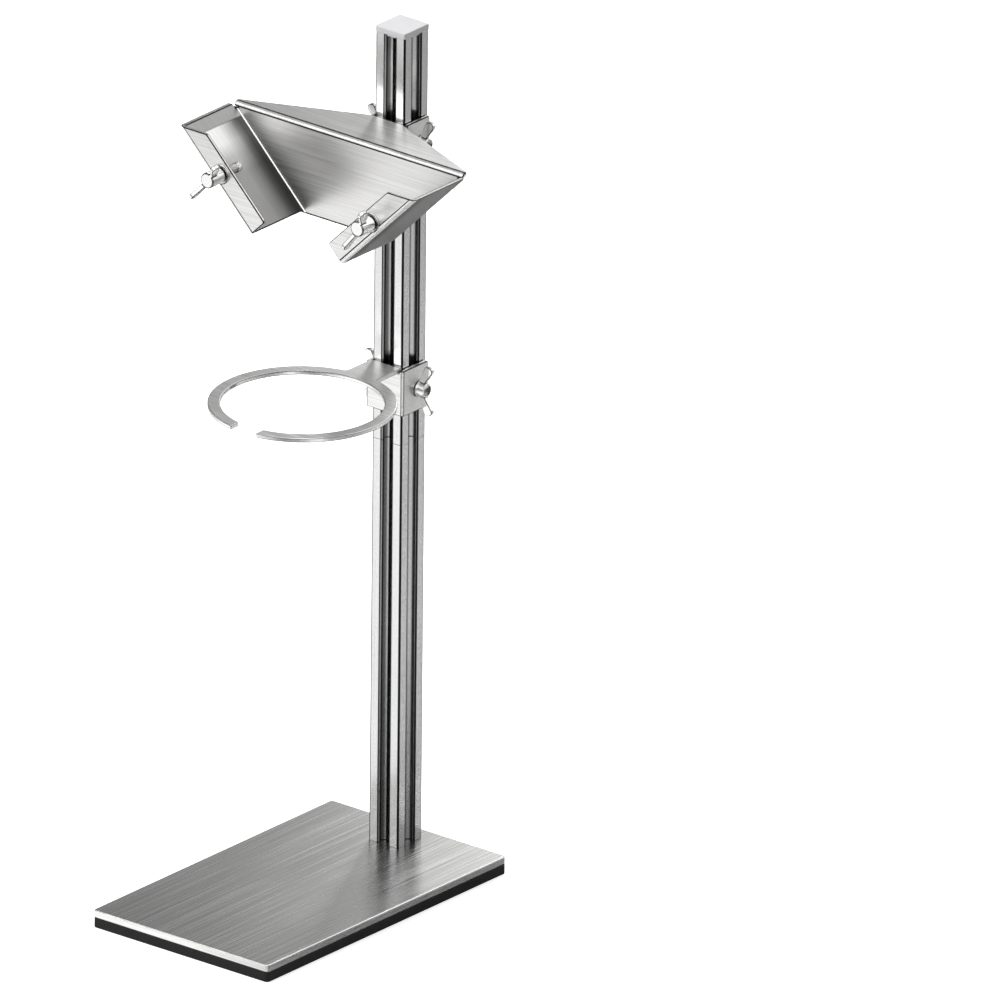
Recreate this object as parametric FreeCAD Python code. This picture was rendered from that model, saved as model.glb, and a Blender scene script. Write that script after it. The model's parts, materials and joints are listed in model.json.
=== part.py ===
import FreeCAD, Part
import math
import os

# Funnel stand: a slotted post on a weighted base carries a C-shaped funnel ring and, above it,
# a folded cradle that holds a shallow vat tipped up on one corner so that it drains into the funnel.
# Millimetres. The origin is the centre of the pad's underside, +Z is up, the post stands towards +Y,
# and the gap of the ring and the thumb screws face -Y.

# Base plate and the rubber pad under it
base_width = 120.0
base_length = 200.0
base_corner_radius = 2.2
plate_thickness = 4.0
plate_edge_round = 0.8
pad_thickness = 6.0
post_setback = 20.0            # centre of the post to the rear edge of the base

# Post: two lengths of square slotted bar, joined end to end
post_size = 20.0
post_corner_radius = 0.8
lower_length = 231.5
upper_length = 233.5
slot_mouth = 8.2               # width at the face, before the bevel
slot_throat = 6.2
slot_lip = 1.9
slot_inside = 11.4
slot_wall = 1.3                # straight side of the slot below the lips
slot_depth = 6.1
core_bore = 5.0
tapped_length = 16.0
post_end_chamfer = 0.2

# Cap on top of the post
cap_thickness = 3.2
cap_overhang = 0.35
cap_edge_round = 0.5
cap_peg_length = 8.0
cap_key_length = 1.4           # stubs that drop into the mouths of the slots
cap_key_thickness = 3.6
cap_key_gap = 0.1              # stub to the lips of the slot, each side

# Large screw and joining stud in the core of the post
core_thread = 6.0
core_head = 12.0
core_head_land = 0.3           # straight rim of the countersunk head
core_end_gap = 3.0             # end of the screw to the bottom of the tapped hole
stud_end_gap = 1.0             # the same at each end of the stud
core_socket = 4.0              # across flats
core_socket_depth = 2.0

# Clamp that both brackets share: a front plate and two cheeks that hug the post
clamp_clearance = 0.2          # between clamp and post, each side
clamp_height = 27.0
clamp_bolt_drop = 14.0         # top face of the bracket to the axis of its bolts
cheek_drop = 1.0               # top of the cheeks below the top face of the bracket
cheek_reach = 9.0              # cheeks behind the centre of the post
cheek_corner_radius = 1.5
tongue_width = 20.5
relief_width = 0.4             # slit beside a bend
bend_inside = 0.8

# Funnel ring and its bracket
ring_sheet = 2.5
ring_bend_outside = 1.4        # pressed sharper than the sheet would fold by itself
ring_bore = 87.5
ring_band = 6.75
ring_gap = 16.6
ring_end_radius = 0.8
ring_edge_round = 0.5
ring_reach = 81.2              # centre of the post to the centre of the ring
ring_rise = 276.6              # top face of the ring above the base plate
tongue_fillet = 1.6

# Cradle for the vat
cradle_sheet = 2.0
cradle_width = 162.4           # across the two outer corners
cradle_height = 51.2           # top face to the lower edge of the back plate
cradle_reach = 44.6            # centre of the post to the face of the back plate
cradle_rise = 417.3            # top face above the base plate
top_inset = 2.7                # ends of the top plate inside the outer corners
top_depth_straight = 3.6       # top plate at full width, behind the face of the back plate
side_angle = 45.0              # sides from the vertical
side_depth = 43.3              # face of the back plate to the front of the lips
side_drop = 1.4                # top of the sides below the top face
lip_width = 13.6
lip_corner_radius = 1.4

# Clamp bolts, washers and wing nuts
clamp_thread = 5.0
bolt_head_height = 2.6
bolt_head_round = 2.4
bolt_head_gap = 0.5            # head to the sides of the slot, each side
bolt_neck_gap = 0.2            # neck to the lips of the slot, each side
bolt_projection = 0.4          # end of the bolt past the wing nut
slot_clearance = 0.1           # bolt head under the lips of the slot
bolt_hole_clearance = 0.25
thread_clearance = 0.05
washer_diameter = 10.0
washer_thickness = 1.0
nut_height = 5.6
nut_base_diameter = 9.2
nut_top_diameter = 7.8
nut_edge = 0.4                 # chamfer of nuts and bolt ends
nut_land = 0.8                 # straight foot of the wing nut

# Wings, the same on the nuts and on the thumb screws
wing_thickness = 2.4
wing_span = 14.0               # axis to tip
wing_rise_low = 4.5            # how far the lower edge climbs from hub to tip
wing_rise_high = 6.9
wing_tip_slope = 0.5
wing_root = 4.0                # height of the wing where it leaves the hub
wing_tip_low_radius = 1.6
wing_tip_high_radius = 2.2

# Thumb screws through the lips of the cradle
screw_thread = 5.0
screw_hub_diameter = 8.8
screw_hub_length = 10.4
screw_wing_start = 6.0         # foot of the wings above the foot of the hub
screw_seat_gap = 0.3           # hub to lip nut
screw_reach = 9.3              # threaded stud behind the lip
insert_flange_diameter = 11.0
insert_flange_thickness = 1.6
insert_shank_diameter = 7.2
insert_clearance = 0.02
screw_from_top = 35.2          # along the side, from its top corner
pad_diameter = 6.0
pad_barrel = 2.2
pad_dome = 2.4
peg_diameter = 3.2             # end of the stud that carries the swivelling pad
peg_length = 2.0
pad_floor_gap = 0.2
left_wing_angle = 53.0         # wings from the horizontal at rest
right_wing_angle = 62.0

# How far cutting shapes reach past the metal, and how closely edges are told apart
overcut = 1.0
near = 1e-3

vector = FreeCAD.Vector
along_x = vector(1, 0, 0)
along_y = vector(0, 1, 0)
along_z = vector(0, 0, 1)

# Heights and places that follow from the sizes above
plate_top = pad_thickness + plate_thickness
post_y = base_length / 2 - post_setback
post_half = post_size / 2
joint_z = plate_top + lower_length
post_top = joint_z + upper_length
seat_y = post_y - post_half - clamp_clearance
cheek_end_y = post_y + cheek_reach
ring_y = post_y - ring_reach
ring_top = plate_top + ring_rise
cradle_top = plate_top + cradle_rise
cradle_bottom = cradle_top - cradle_height
cradle_face_y = post_y - cradle_reach
lip_face_y = cradle_face_y - side_depth
side_top = cradle_top - side_drop
cradle_bend_outside = cradle_sheet + bend_inside
ring_bolt_z = ring_top - clamp_bolt_drop
cradle_bolt_z = cradle_top - clamp_bolt_drop


# Corner of an outline turned into an arc: returns its start, middle and end
def corner_arc(before, corner, after, radius):
    to_before = (before - corner).normalize()
    to_after = (after - corner).normalize()
    half_angle = to_before.getAngle(to_after) / 2
    middle_line = (to_before + to_after).normalize()
    start = corner + to_before * (radius / math.tan(half_angle))
    end = corner + to_after * (radius / math.tan(half_angle))
    middle = corner + middle_line * (radius / math.sin(half_angle) - radius)
    return start, middle, end


# Closed outline through flat points, each with its own corner radius; place() puts it in space
def outline_face(points, radii, place):
    corners = [place(*point) for point in points]
    count = len(corners)
    edges = []
    stops = []
    for index, corner in enumerate(corners):
        if radii[index] > 0:
            start, middle, end = corner_arc(corners[index - 1], corner, corners[(index + 1) % count],
                                            radii[index])
            edges.append(Part.Arc(start, middle, end).toShape())
            stops.append((start, end))
        else:
            stops.append((corner, corner))
    for index in range(count):
        leave = stops[index][1]
        arrive = stops[(index + 1) % count][0]
        if leave.distanceToPoint(arrive) > near:
            edges.append(Part.LineSegment(leave, arrive).toShape())
    return Part.Face(Part.Wire(Part.__sortEdges__(edges)))


# Flat places for outlines
def on_floor(across, along):
    return vector(across, along, 0)


def on_side(along, up):
    return vector(0, along, up)


def on_front(across, up):
    return vector(across, 0, up)


# Section of a folded sheet: the path is its outer face, and the metal lies to the left of it
def folded_face(path, sheet, bend_outside, place):
    corners = [vector(a, b, 0) for a, b in path]
    runs = [(corners[i + 1] - corners[i]).normalize() for i in range(len(corners) - 1)]
    lefts = [vector(-run.y, run.x, 0) for run in runs]
    inner = [corners[0] + lefts[0] * sheet]
    outer_radii = [0.0]
    inner_radii = [0.0]
    for index in range(1, len(corners) - 1):
        turn = runs[index - 1].cross(runs[index]).z
        mean = (lefts[index - 1] + lefts[index]).normalize()
        inner.append(corners[index] + mean * (sheet / mean.dot(lefts[index])))
        outer_radii.append(bend_outside if turn > 0 else bend_inside)
        inner_radii.append(bend_inside if turn > 0 else bend_outside)
    inner.append(corners[-1] + lefts[-1] * sheet)
    outer_radii.append(0.0)
    inner_radii.append(0.0)
    points = [(corner.x, corner.y) for corner in corners + inner[::-1]]
    return outline_face(points, outer_radii + inner_radii[::-1], place)


def block(low, high):
    size = [high[axis] - low[axis] for axis in range(3)]
    return Part.makeBox(size[0], size[1], size[2], vector(*low))


def rod(radius, length, foot, direction):
    return Part.makeCylinder(radius, length, foot, direction)


# Body of revolution about Z, from points given as (height, radius)
def turned(profile):
    points = [vector(radius, 0, height) for height, radius in profile]
    wire = Part.makePolygon(points + [points[0]])
    return Part.Face(wire).revolve(vector(), along_z, 360)


def mirrored(shape):
    return shape.mirror(vector(), along_x)


def clean(shape):
    shape = shape.removeSplitter()
    return shape.Solids[0] if len(shape.Solids) == 1 else shape


def save(name, shape):
    solid = clean(shape)
    if not solid.isValid() or len(solid.Solids) != 1:
        print("CHECK", name, "solids", len(solid.Solids), "valid", solid.isValid())
    solid.exportStep("parts/" + name + ".step")
    print(name, round(solid.Volume), "mm3")


# Square or oblong outline centred on Z, with rounded corners
def rounded_oblong(width, length, corner_radius):
    half_x = width / 2
    half_y = length / 2
    points = [(-half_x, -half_y), (half_x, -half_y), (half_x, half_y), (-half_x, half_y)]
    return outline_face(points, [corner_radius] * 4, on_floor)


# The base's outline made solid at a height
def base_slab(thickness, height):
    face = rounded_oblong(base_width, base_length, base_corner_radius)
    return face.extrude(along_z * thickness).translated(along_z * height)


def edges_at_height(shape, height):
    chosen = []
    for edge in shape.Edges:
        box = edge.BoundBox
        if abs(box.ZMin - height) < near and abs(box.ZMax - height) < near:
            chosen.append(edge)
    return chosen


def rubber_pad():
    return base_slab(pad_thickness, 0)


# Cone and rim of the countersunk head, with an allowance on every side
def countersink(allowance):
    head = core_head / 2 + allowance
    shank = core_thread / 2 + allowance
    profile = [(0, 0), (0, head), (core_head_land, head), (core_head_land + head - shank, shank),
               (core_head_land + head - shank, 0)]
    return turned(profile).translated(vector(0, post_y, pad_thickness))


def base_plate():
    plate = base_slab(plate_thickness, pad_thickness)
    plate = plate.makeFillet(plate_edge_round, edges_at_height(plate, plate_top))
    foot = vector(0, post_y, pad_thickness)
    hole = rod(core_thread / 2 + bolt_hole_clearance, plate_thickness, foot, along_z)
    return plate.cut([hole, countersink(thread_clearance)])


def base_screw():
    foot = vector(0, post_y, pad_thickness)
    length = plate_thickness + tapped_length - core_end_gap
    screw = countersink(0).fuse(rod(core_thread / 2, length, foot, along_z))
    flat_radius = core_socket / 2 / math.cos(math.radians(30))
    corners = [vector(flat_radius * math.cos(math.radians(60 * turn)),
                      flat_radius * math.sin(math.radians(60 * turn)), 0) for turn in range(7)]
    socket = Part.Face(Part.makePolygon(corners)).extrude(along_z * core_socket_depth)
    return screw.cut(socket.translated(foot))


# Slot in the +X face of the bar: bevelled mouth, throat between the lips, and the wider inside
def slot_face():
    bevel = (slot_mouth - slot_throat) / 2
    floor_half = slot_inside / 2 - (slot_depth - slot_lip - slot_wall)
    right_half = [
        (post_half + overcut, slot_mouth / 2),
        (post_half, slot_mouth / 2),
        (post_half - bevel, slot_throat / 2),
        (post_half - slot_lip, slot_throat / 2),
        (post_half - slot_lip, slot_inside / 2),
        (post_half - slot_lip - slot_wall, slot_inside / 2),
        (post_half - slot_depth, floor_half),
    ]
    left_half = [(depth, -half) for depth, half in reversed(right_half)]
    return outline_face(right_half + left_half, [0.0] * len(right_half + left_half), on_floor)


def post_section(foot_z, length):
    bar = rounded_oblong(post_size, post_size, post_corner_radius).extrude(along_z * length)
    bar = bar.makeChamfer(post_end_chamfer, edges_at_height(bar, 0) + edges_at_height(bar, length))
    slot = slot_face().extrude(along_z * length)
    slots = [slot.rotated(vector(), along_z, 90 * turn) for turn in range(4)]
    bore = rod(core_bore / 2, length, vector(), along_z)
    tap_radius = core_thread / 2 + thread_clearance
    taps = [rod(tap_radius, tapped_length, vector(0, 0, height), along_z)
            for height in (0, length - tapped_length)]
    return bar.cut(slots + [bore] + taps).translated(vector(0, post_y, foot_z))


def joining_stud():
    reach = tapped_length - stud_end_gap
    stud = rod(core_thread / 2, 2 * reach, vector(0, post_y, joint_z - reach), along_z)
    return stud.makeChamfer((core_thread - core_bore) / 2, [edge for edge in stud.Edges if edge.Closed])


# Square lid with a peg in the core of the bar and a short key in the mouth of each slot
def post_cap():
    width = post_size + 2 * cap_overhang
    lid = rounded_oblong(width, width, post_corner_radius + cap_overhang).extrude(along_z * cap_thickness)
    lid = lid.makeFillet(cap_edge_round, edges_at_height(lid, cap_thickness))
    outer = post_half - slot_lip / 2
    half_key = slot_throat / 2 - cap_key_gap
    key = block((outer - cap_key_thickness, -half_key, -cap_key_length), (outer, half_key, 0))
    keys = [key.rotated(vector(), along_z, 90 * turn) for turn in range(4)]
    peg = rod(core_thread / 2, cap_peg_length, vector(0, 0, -cap_peg_length), along_z)
    return lid.fuse(keys + [peg]).translated(vector(0, post_y, post_top))


# Front plate and cheeks of a bracket, folded round the post, and the strip that hangs them from above
def clamp(sheet, bend_outside, top, bolt_z):
    half = post_half + clamp_clearance + sheet
    front_y = seat_y - sheet
    bottom = top - clamp_height
    path = [(-half, cheek_end_y), (-half, front_y), (half, front_y), (half, cheek_end_y)]
    channel = folded_face(path, sheet, bend_outside, on_floor).extrude(along_z * (clamp_height - cheek_drop))
    channel = channel.translated(along_z * bottom)
    cheek_top = top - cheek_drop
    start_y = front_y - overcut
    cheek = [(start_y, bottom), (cheek_end_y, bottom), (cheek_end_y, cheek_top), (start_y, cheek_top)]
    radii = [0.0, cheek_corner_radius, cheek_corner_radius, 0.0]
    outline = outline_face(cheek, radii, on_side).extrude(along_x * (2 * half)).translated(along_x * -half)
    window = tongue_width / 2 + relief_width
    relief = block((-window, start_y, top - sheet - bend_inside), (window, seat_y + overcut, top))
    hole = rod(clamp_thread / 2 + bolt_hole_clearance, 2 * half, vector(-half, post_y, bolt_z), along_x)
    return channel.common(outline).cut([relief, hole])


# Flat C of the funnel ring, with its gap towards -Y
def ring_disc():
    inner = ring_bore / 2
    outer = inner + ring_band
    underside = ring_top - ring_sheet
    foot = vector(0, ring_y, underside)
    disc = rod(outer, ring_sheet, foot, along_z).cut(rod(inner, ring_sheet, foot, along_z))
    disc = disc.cut(block((-ring_gap / 2, ring_y - outer, underside), (ring_gap / 2, ring_y, ring_top)))
    ends = [edge for edge in disc.Edges if abs(edge.BoundBox.ZLength - ring_sheet) < near
            and abs(abs(edge.BoundBox.XMin) - ring_gap / 2) < near]
    return disc.makeFillet(ring_end_radius, ends)


# Flat ring and the tongue that carries it, which bends down at the post, all edges rounded
def ring_and_tongue():
    outer = ring_bore / 2 + ring_band
    start_y = ring_y + ring_bore / 2 + ring_band / 2
    path = [(seat_y, ring_top - clamp_height), (seat_y, ring_top), (start_y, ring_top)]
    tongue = folded_face(path, ring_sheet, ring_bend_outside, on_side).extrude(along_x * tongue_width)
    blank = ring_disc().fuse(tongue.translated(along_x * (-tongue_width / 2))).removeSplitter()
    corner_y = ring_y + math.sqrt(outer ** 2 - (tongue_width / 2) ** 2)
    corners = []
    for edge in blank.Edges:
        box = edge.BoundBox
        upright = abs(box.ZLength - ring_sheet) < near and box.XLength < near
        if upright and abs(box.YMin - corner_y) < near and abs(abs(box.XMin) - tongue_width / 2) < near:
            corners.append(edge)
    blank = blank.makeFillet(tongue_fillet, corners)
    rims = [edge for edge in blank.Edges
            if isinstance(edge.Curve, Part.Circle) and abs(edge.Curve.Radius - outer) < near]
    return blank.makeFillet(ring_edge_round, rims)


def ring_bracket():
    return ring_and_tongue().fuse(clamp(ring_sheet, ring_bend_outside, ring_top, ring_bolt_z))


# One side of the cradle, at +X: back leg, slanting side and front lip as one folded channel
def cradle_side():
    angle = math.radians(side_angle)
    up_side = vector(math.sin(angle), 0, math.cos(angle))
    inward = vector(-math.cos(angle), 0, math.sin(angle))
    length = (side_top - cradle_bottom) / math.cos(angle)
    top_corner = vector(cradle_width / 2, 0, side_top)
    foot = top_corner - up_side * length
    leg = 2 * cradle_bend_outside
    back_y = cradle_face_y + cradle_sheet

    def on_section(into, along):
        return foot + inward * into + along_y * along

    path = [(leg, back_y), (0, back_y), (0, lip_face_y), (lip_width, lip_face_y)]
    section = folded_face(path, cradle_sheet, cradle_bend_outside, on_section)
    below = leg * math.tan(angle) + overcut
    above = lip_width * math.tan(angle) + overcut
    channel = section.translated(up_side * -below).extrude(up_side * (below + length + above))
    far = cradle_width
    bend_y = cradle_face_y - bend_inside
    front_y = lip_face_y - overcut
    wide = lip_width + overcut
    foot_outline = [(-overcut, front_y), (wide, front_y), (wide, bend_y), (-overcut, bend_y)]
    foot_cut = outline_face(foot_outline, [0.0] * 4, on_section).extrude(up_side * -(below + overcut))
    top_cut = block((-far, front_y, side_top), (far, back_y, cradle_top + far))
    low_cut = block((-far, front_y, cradle_bottom - far), (far, back_y, cradle_bottom))
    relief_low = (0, bend_y - relief_width, cradle_top - cradle_bend_outside - relief_width)
    channel = channel.cut([foot_cut, top_cut, low_cut, block(relief_low, (far, back_y, cradle_top))])
    rounded = []
    for edge in channel.Edges:
        box = edge.BoundBox
        through_lip = abs(box.YMin - lip_face_y) < near and abs(box.YLength - cradle_sheet) < near
        free_edge = abs((box.Center - foot).dot(inward) - lip_width) < near
        if through_lip and free_edge:
            rounded.append(edge)
    return channel.makeFillet(lip_corner_radius, rounded)


# Back plate, top plate and hanging strip as one folded sheet, trimmed from above and from the front
def cradle_spine():
    path = [(seat_y, cradle_top - clamp_height), (seat_y, cradle_top),
            (cradle_face_y, cradle_top), (cradle_face_y, cradle_bottom)]
    strip = folded_face(path, cradle_sheet, cradle_bend_outside, on_side).extrude(along_x * cradle_width)
    strip = strip.translated(along_x * (-cradle_width / 2))
    top_half = cradle_width / 2 - top_inset
    tongue_half = tongue_width / 2
    front_y = seat_y - cradle_sheet
    wide_y = cradle_face_y + top_depth_straight
    plan = [(-top_half, cradle_face_y), (top_half, cradle_face_y), (top_half, wide_y),
            (tongue_half, front_y), (tongue_half, seat_y), (-tongue_half, seat_y),
            (-tongue_half, front_y), (-top_half, wide_y)]
    plan_trim = outline_face(plan, [0.0] * len(plan), on_floor).extrude(along_z * cradle_height)
    plan_trim = plan_trim.translated(along_z * cradle_bottom)
    angle = math.radians(side_angle)
    bend_width = cradle_bend_outside / math.cos(angle)
    bend_z = cradle_top - cradle_bend_outside
    side_half = cradle_width / 2 - (side_top - bend_z) * math.tan(angle) - bend_width
    low_half = side_half - (bend_z - cradle_bottom) * math.tan(angle)
    front = [(-low_half, cradle_bottom), (low_half, cradle_bottom), (side_half, bend_z),
             (top_half, bend_z), (top_half, cradle_top), (-top_half, cradle_top),
             (-top_half, bend_z), (-side_half, bend_z)]
    depth = seat_y - cradle_face_y
    front_trim = outline_face(front, [0.0] * len(front), on_front).extrude(along_y * depth)
    front_trim = front_trim.translated(along_y * cradle_face_y)
    return strip.common(plan_trim).common(front_trim)


# Centre of the thumb screw on the right lip, in its front face
def lip_centre():
    angle = math.radians(side_angle)
    top_corner = vector(cradle_width / 2, lip_face_y, side_top)
    down_side = vector(-math.sin(angle), 0, -math.cos(angle))
    inward = vector(-math.cos(angle), 0, math.sin(angle))
    return top_corner + down_side * screw_from_top + inward * (lip_width / 2)


def cradle_bracket():
    side = cradle_side()
    hold = clamp(cradle_sheet, cradle_bend_outside, cradle_top, cradle_bolt_z)
    bracket = cradle_spine().fuse([side, mirrored(side), hold])
    centre = lip_centre()
    hole = rod(insert_shank_diameter / 2 + insert_clearance, cradle_sheet, centre, along_y)
    return bracket.cut([hole, mirrored(hole)])


# Bolt with a T head shaped like the inside of the side slot, pointing along +X
def clamp_bolt(sheet, bolt_z):
    head_top = post_half - slot_lip - slot_clearance
    head_foot = head_top - bolt_head_height
    taper_x = post_half - slot_lip - slot_wall
    end_x = post_half + clamp_clearance + sheet + washer_thickness + nut_height + bolt_projection
    half_across = slot_inside / 2 - bolt_head_gap
    foot_across = half_across - (taper_x - head_foot)
    half_width = slot_throat / 2 - bolt_neck_gap
    outline = [(-half_across, -half_width), (half_across, -half_width), (half_across, half_width),
               (-half_across, half_width)]
    radii = [0.0, bolt_head_round, 0.0, bolt_head_round]
    head = outline_face(outline, radii, on_side).extrude(along_x * bolt_head_height)
    head = head.translated(along_x * head_foot)
    section = [(head_foot, -foot_across), (taper_x, -half_across), (head_top, -half_across),
               (head_top, half_across), (taper_x, half_across), (head_foot, foot_across)]
    taper = outline_face(section, [0.0] * len(section), on_floor).extrude(along_z * (2 * half_width))
    head = head.common(taper.translated(along_z * -half_width))
    neck_end = post_half - bolt_hole_clearance
    neck = block((head_top, -half_width, -half_width), (neck_end, half_width, half_width))
    stud = rod(clamp_thread / 2, end_x - head_top, vector(head_top, 0, 0), along_x)
    tip = [edge for edge in stud.Edges if edge.Closed and edge.BoundBox.XMin > end_x - near]
    stud = stud.makeChamfer(nut_edge, tip)
    return head.fuse([neck, stud]).translated(vector(0, post_y, bolt_z))


# Pair of swept wings about Z, from a foot height; they reach into the hub
def wings(foot_height, hub_radius):
    root_top = foot_height + wing_root
    points = [(0, foot_height), (hub_radius, foot_height), (wing_span, foot_height + wing_rise_low),
              (wing_span - wing_tip_slope, root_top + wing_rise_high), (hub_radius, root_top), (0, root_top)]
    radii = [0.0, 0.0, wing_tip_low_radius, wing_tip_high_radius, 0.0, 0.0]
    wing = outline_face(points, radii, on_front).extrude(along_y * wing_thickness)
    wing = wing.translated(along_y * (-wing_thickness / 2))
    return wing, wing.rotated(vector(), along_z, 180)


# Wing nut standing on Z
def wing_nut():
    base = nut_base_diameter / 2
    top = nut_top_diameter / 2
    hub = turned([(0, 0), (0, base - nut_edge), (nut_edge, base), (nut_edge + nut_land, base),
                  (nut_height - nut_edge, top), (nut_height, top - nut_edge), (nut_height, 0)])
    bore = rod(clamp_thread / 2 + thread_clearance, nut_height, vector(), along_z)
    return hub.fuse(list(wings(nut_edge, top))).cut(bore)


def washer():
    disc = rod(washer_diameter / 2, washer_thickness, vector(), along_z)
    return disc.cut(rod(clamp_thread / 2 + thread_clearance, washer_thickness, vector(), along_z))


# Puts a piece that stands on Z against the outside of a cheek; side is 1 at +X and -1 at -X
def on_cheek(shape, side, sheet, bolt_z, lift):
    face_x = post_half + clamp_clearance + sheet + lift
    return shape.rotated(vector(), along_y, 90 * side).translated(vector(side * face_x, post_y, bolt_z))


# Threaded nut pressed into a lip, with its flange on the front face; stands on Z
def lip_insert():
    flange = rod(insert_flange_diameter / 2, insert_flange_thickness, vector(), along_z)
    shank = rod(insert_shank_diameter / 2, cradle_sheet, vector(0, 0, -cradle_sheet), along_z)
    length = cradle_sheet + insert_flange_thickness
    bore = rod(screw_thread / 2 + thread_clearance, length, vector(0, 0, -cradle_sheet), along_z)
    rim = [edge for edge in edges_at_height(flange, insert_flange_thickness) if edge.Closed]
    return flange.makeChamfer(nut_edge, rim).fuse(shank).cut(bore)


# Thumb screw; Z = 0 is the front face of the lip and the head is above it
def thumb_screw():
    radius = screw_hub_diameter / 2
    hub_foot = insert_flange_thickness + screw_seat_gap
    hub = turned([(0, 0), (0, radius), (screw_hub_length - nut_edge, radius),
                  (screw_hub_length, radius - nut_edge), (screw_hub_length, 0)])
    head = hub.fuse(list(wings(screw_wing_start, radius - nut_edge))).translated(along_z * hub_foot)
    tip = -cradle_sheet - screw_reach
    stud = rod(screw_thread / 2, hub_foot - tip, vector(0, 0, tip), along_z)
    peg = rod(peg_diameter / 2, peg_length, vector(0, 0, tip - peg_length), along_z)
    return head.fuse([stud, peg])


# Swivelling pad with a domed nose on the end of the thumb screw
def nose_pad():
    shoulder = -cradle_sheet - screw_reach
    radius = pad_diameter / 2
    dome_radius = (radius ** 2 + pad_dome ** 2) / (2 * pad_dome)
    barrel_end = shoulder - pad_barrel
    nose = barrel_end - pad_dome
    barrel = rod(radius, pad_barrel, vector(0, 0, barrel_end), along_z)
    ball = Part.makeSphere(dome_radius, vector(0, 0, nose + dome_radius))
    dome = ball.common(block((-radius, -radius, nose), (radius, radius, barrel_end)))
    socket_depth = peg_length + pad_floor_gap
    socket_foot = vector(0, 0, shoulder - socket_depth)
    socket = rod(peg_diameter / 2 + thread_clearance, socket_depth, socket_foot, along_z)
    return barrel.fuse(dome).cut(socket)


# Puts a piece that stands on Z on a lip, with its head towards -Y
def on_lip(shape, side, angle):
    centre = lip_centre()
    shape = shape.rotated(vector(), along_z, angle).rotated(vector(), along_x, 90)
    return shape.translated(vector(side * centre.x, centre.y, centre.z))


os.makedirs("parts", exist_ok=True)

save("rubber_pad", rubber_pad())
save("base_plate", base_plate())
save("base_screw", base_screw())
save("post_lower", post_section(plate_top, lower_length))
save("post_upper", post_section(joint_z, upper_length))
save("post_joining_stud", joining_stud())
save("post_cap", post_cap())
save("ring_bracket", ring_bracket())
save("cradle_bracket", cradle_bracket())

for bracket, sheet, bolt_z in (("ring", ring_sheet, ring_bolt_z), ("cradle", cradle_sheet, cradle_bolt_z)):
    bolt = clamp_bolt(sheet, bolt_z)
    for side, side_name in ((-1, "left"), (1, "right")):
        save(bracket + "_clamp_bolt_" + side_name, bolt if side > 0 else mirrored(bolt))
        save(bracket + "_washer_" + side_name, on_cheek(washer(), side, sheet, bolt_z, 0))
        nut = on_cheek(wing_nut(), side, sheet, bolt_z, washer_thickness)
        save(bracket + "_wing_nut_" + side_name, nut)

for side, side_name, angle in ((-1, "left", left_wing_angle), (1, "right", right_wing_angle)):
    save("lip_insert_" + side_name, on_lip(lip_insert(), side, 0))
    save("thumb_screw_" + side_name, on_lip(thumb_screw(), side, angle))
    save("nose_pad_" + side_name, on_lip(nose_pad(), side, 0))
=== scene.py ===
import bpy
import json
import math
from mathutils import Matrix, Vector


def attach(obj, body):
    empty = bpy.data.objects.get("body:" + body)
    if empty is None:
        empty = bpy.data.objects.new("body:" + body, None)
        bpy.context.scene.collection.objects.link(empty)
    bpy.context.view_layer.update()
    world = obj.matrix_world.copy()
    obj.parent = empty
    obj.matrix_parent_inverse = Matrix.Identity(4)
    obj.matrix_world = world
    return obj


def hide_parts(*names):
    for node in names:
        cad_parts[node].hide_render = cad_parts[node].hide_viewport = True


# Funnel stand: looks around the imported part. Metres, the part's own frame, post at the back (+Y).
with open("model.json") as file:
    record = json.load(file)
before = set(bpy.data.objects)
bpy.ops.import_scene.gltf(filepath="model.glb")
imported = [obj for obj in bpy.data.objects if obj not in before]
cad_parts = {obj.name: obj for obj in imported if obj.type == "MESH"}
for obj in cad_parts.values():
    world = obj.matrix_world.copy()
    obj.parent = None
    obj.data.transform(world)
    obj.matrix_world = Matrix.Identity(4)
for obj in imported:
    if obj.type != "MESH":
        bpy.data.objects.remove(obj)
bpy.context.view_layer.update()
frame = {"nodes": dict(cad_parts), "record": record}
nodes = frame["nodes"]
mm = 0.001
print("frame loaded,", len(nodes), "nodes")


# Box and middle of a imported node
def boxOf(nodeName):
    points = [vertex.co for vertex in nodes[nodeName].data.vertices]
    low = Vector([min(point[axis] for point in points) for axis in range(3)])
    high = Vector([max(point[axis] for point in points) for axis in range(3)])
    return low, high


def middleOf(nodeName):
    low, high = boxOf(nodeName)
    return (low + high) / 2


# Materials
def startMaterial(name):
    material = bpy.data.materials.new(name)
    material.use_nodes = True
    tree = material.node_tree
    tree.nodes.clear()
    output = tree.nodes.new("ShaderNodeOutputMaterial")
    shader = tree.nodes.new("ShaderNodeBsdfPrincipled")
    tree.links.new(shader.outputs["BSDF"], output.inputs["Surface"])
    return material, tree, shader


# Noise drawn out along the axes: strokes are that many times longer there, then turned
def addNoise(tree, strokes, scale, detail, roughness=0.5, turn=(0, 0, 0)):
    place = tree.nodes.new("ShaderNodeTexCoord")
    mapping = tree.nodes.new("ShaderNodeMapping")
    mapping.vector_type = "TEXTURE"
    mapping.inputs["Scale"].default_value = strokes
    mapping.inputs["Rotation"].default_value = turn
    noise = tree.nodes.new("ShaderNodeTexNoise")
    noise.inputs["Scale"].default_value = scale
    noise.inputs["Detail"].default_value = detail
    noise.inputs["Roughness"].default_value = roughness
    tree.links.new(place.outputs["Object"], mapping.inputs["Vector"])
    tree.links.new(mapping.outputs["Vector"], noise.inputs["Vector"])
    return noise


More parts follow.
